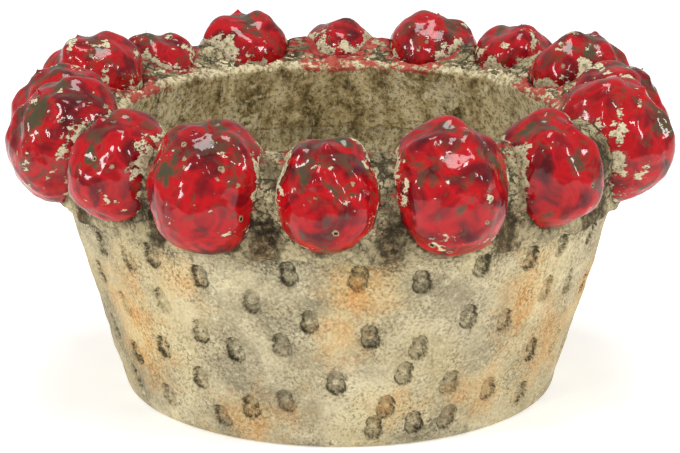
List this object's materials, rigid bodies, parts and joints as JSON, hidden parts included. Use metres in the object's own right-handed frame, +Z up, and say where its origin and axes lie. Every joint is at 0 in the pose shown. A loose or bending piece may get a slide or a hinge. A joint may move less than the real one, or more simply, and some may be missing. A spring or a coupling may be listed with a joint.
{
  "type": "planter bowl",
  "caption": "Flared clay-look planter bowl with seed-shaped dimples and a thick collar holding a ring of glossy red glazed fruits with pointed tips.",
  "frame": {"origin": "centre of the flat underside", "axes": "+Z up through the mouth, -Y towards the front of the picture, +X to its right"},
  "size_m": [0.2926, 0.2925, 0.1512],
  "materials": {
    "body_clay": "rough weathered cement clay",
    "collar_clay": "rough weathered cement clay with crackle",
    "fruit_glaze": "glossy chipped red glaze"
  },
  "bodies": {
    "root": {"bowl_body": "body_clay", "rim_collar": "collar_clay", "fruit_01": "fruit_glaze", "fruit_02": "fruit_glaze", "fruit_03": "fruit_glaze", "fruit_04": "fruit_glaze", "fruit_05": "fruit_glaze", "fruit_06": "fruit_glaze", "fruit_07": "fruit_glaze", "fruit_08": "fruit_glaze", "fruit_09": "fruit_glaze", "fruit_10": "fruit_glaze", "fruit_11": "fruit_glaze", "fruit_12": "fruit_glaze", "fruit_13": "fruit_glaze", "fruit_14": "fruit_glaze", "fruit_15": "fruit_glaze", "fruit_16": "fruit_glaze"}
  },
  "joints": []
}
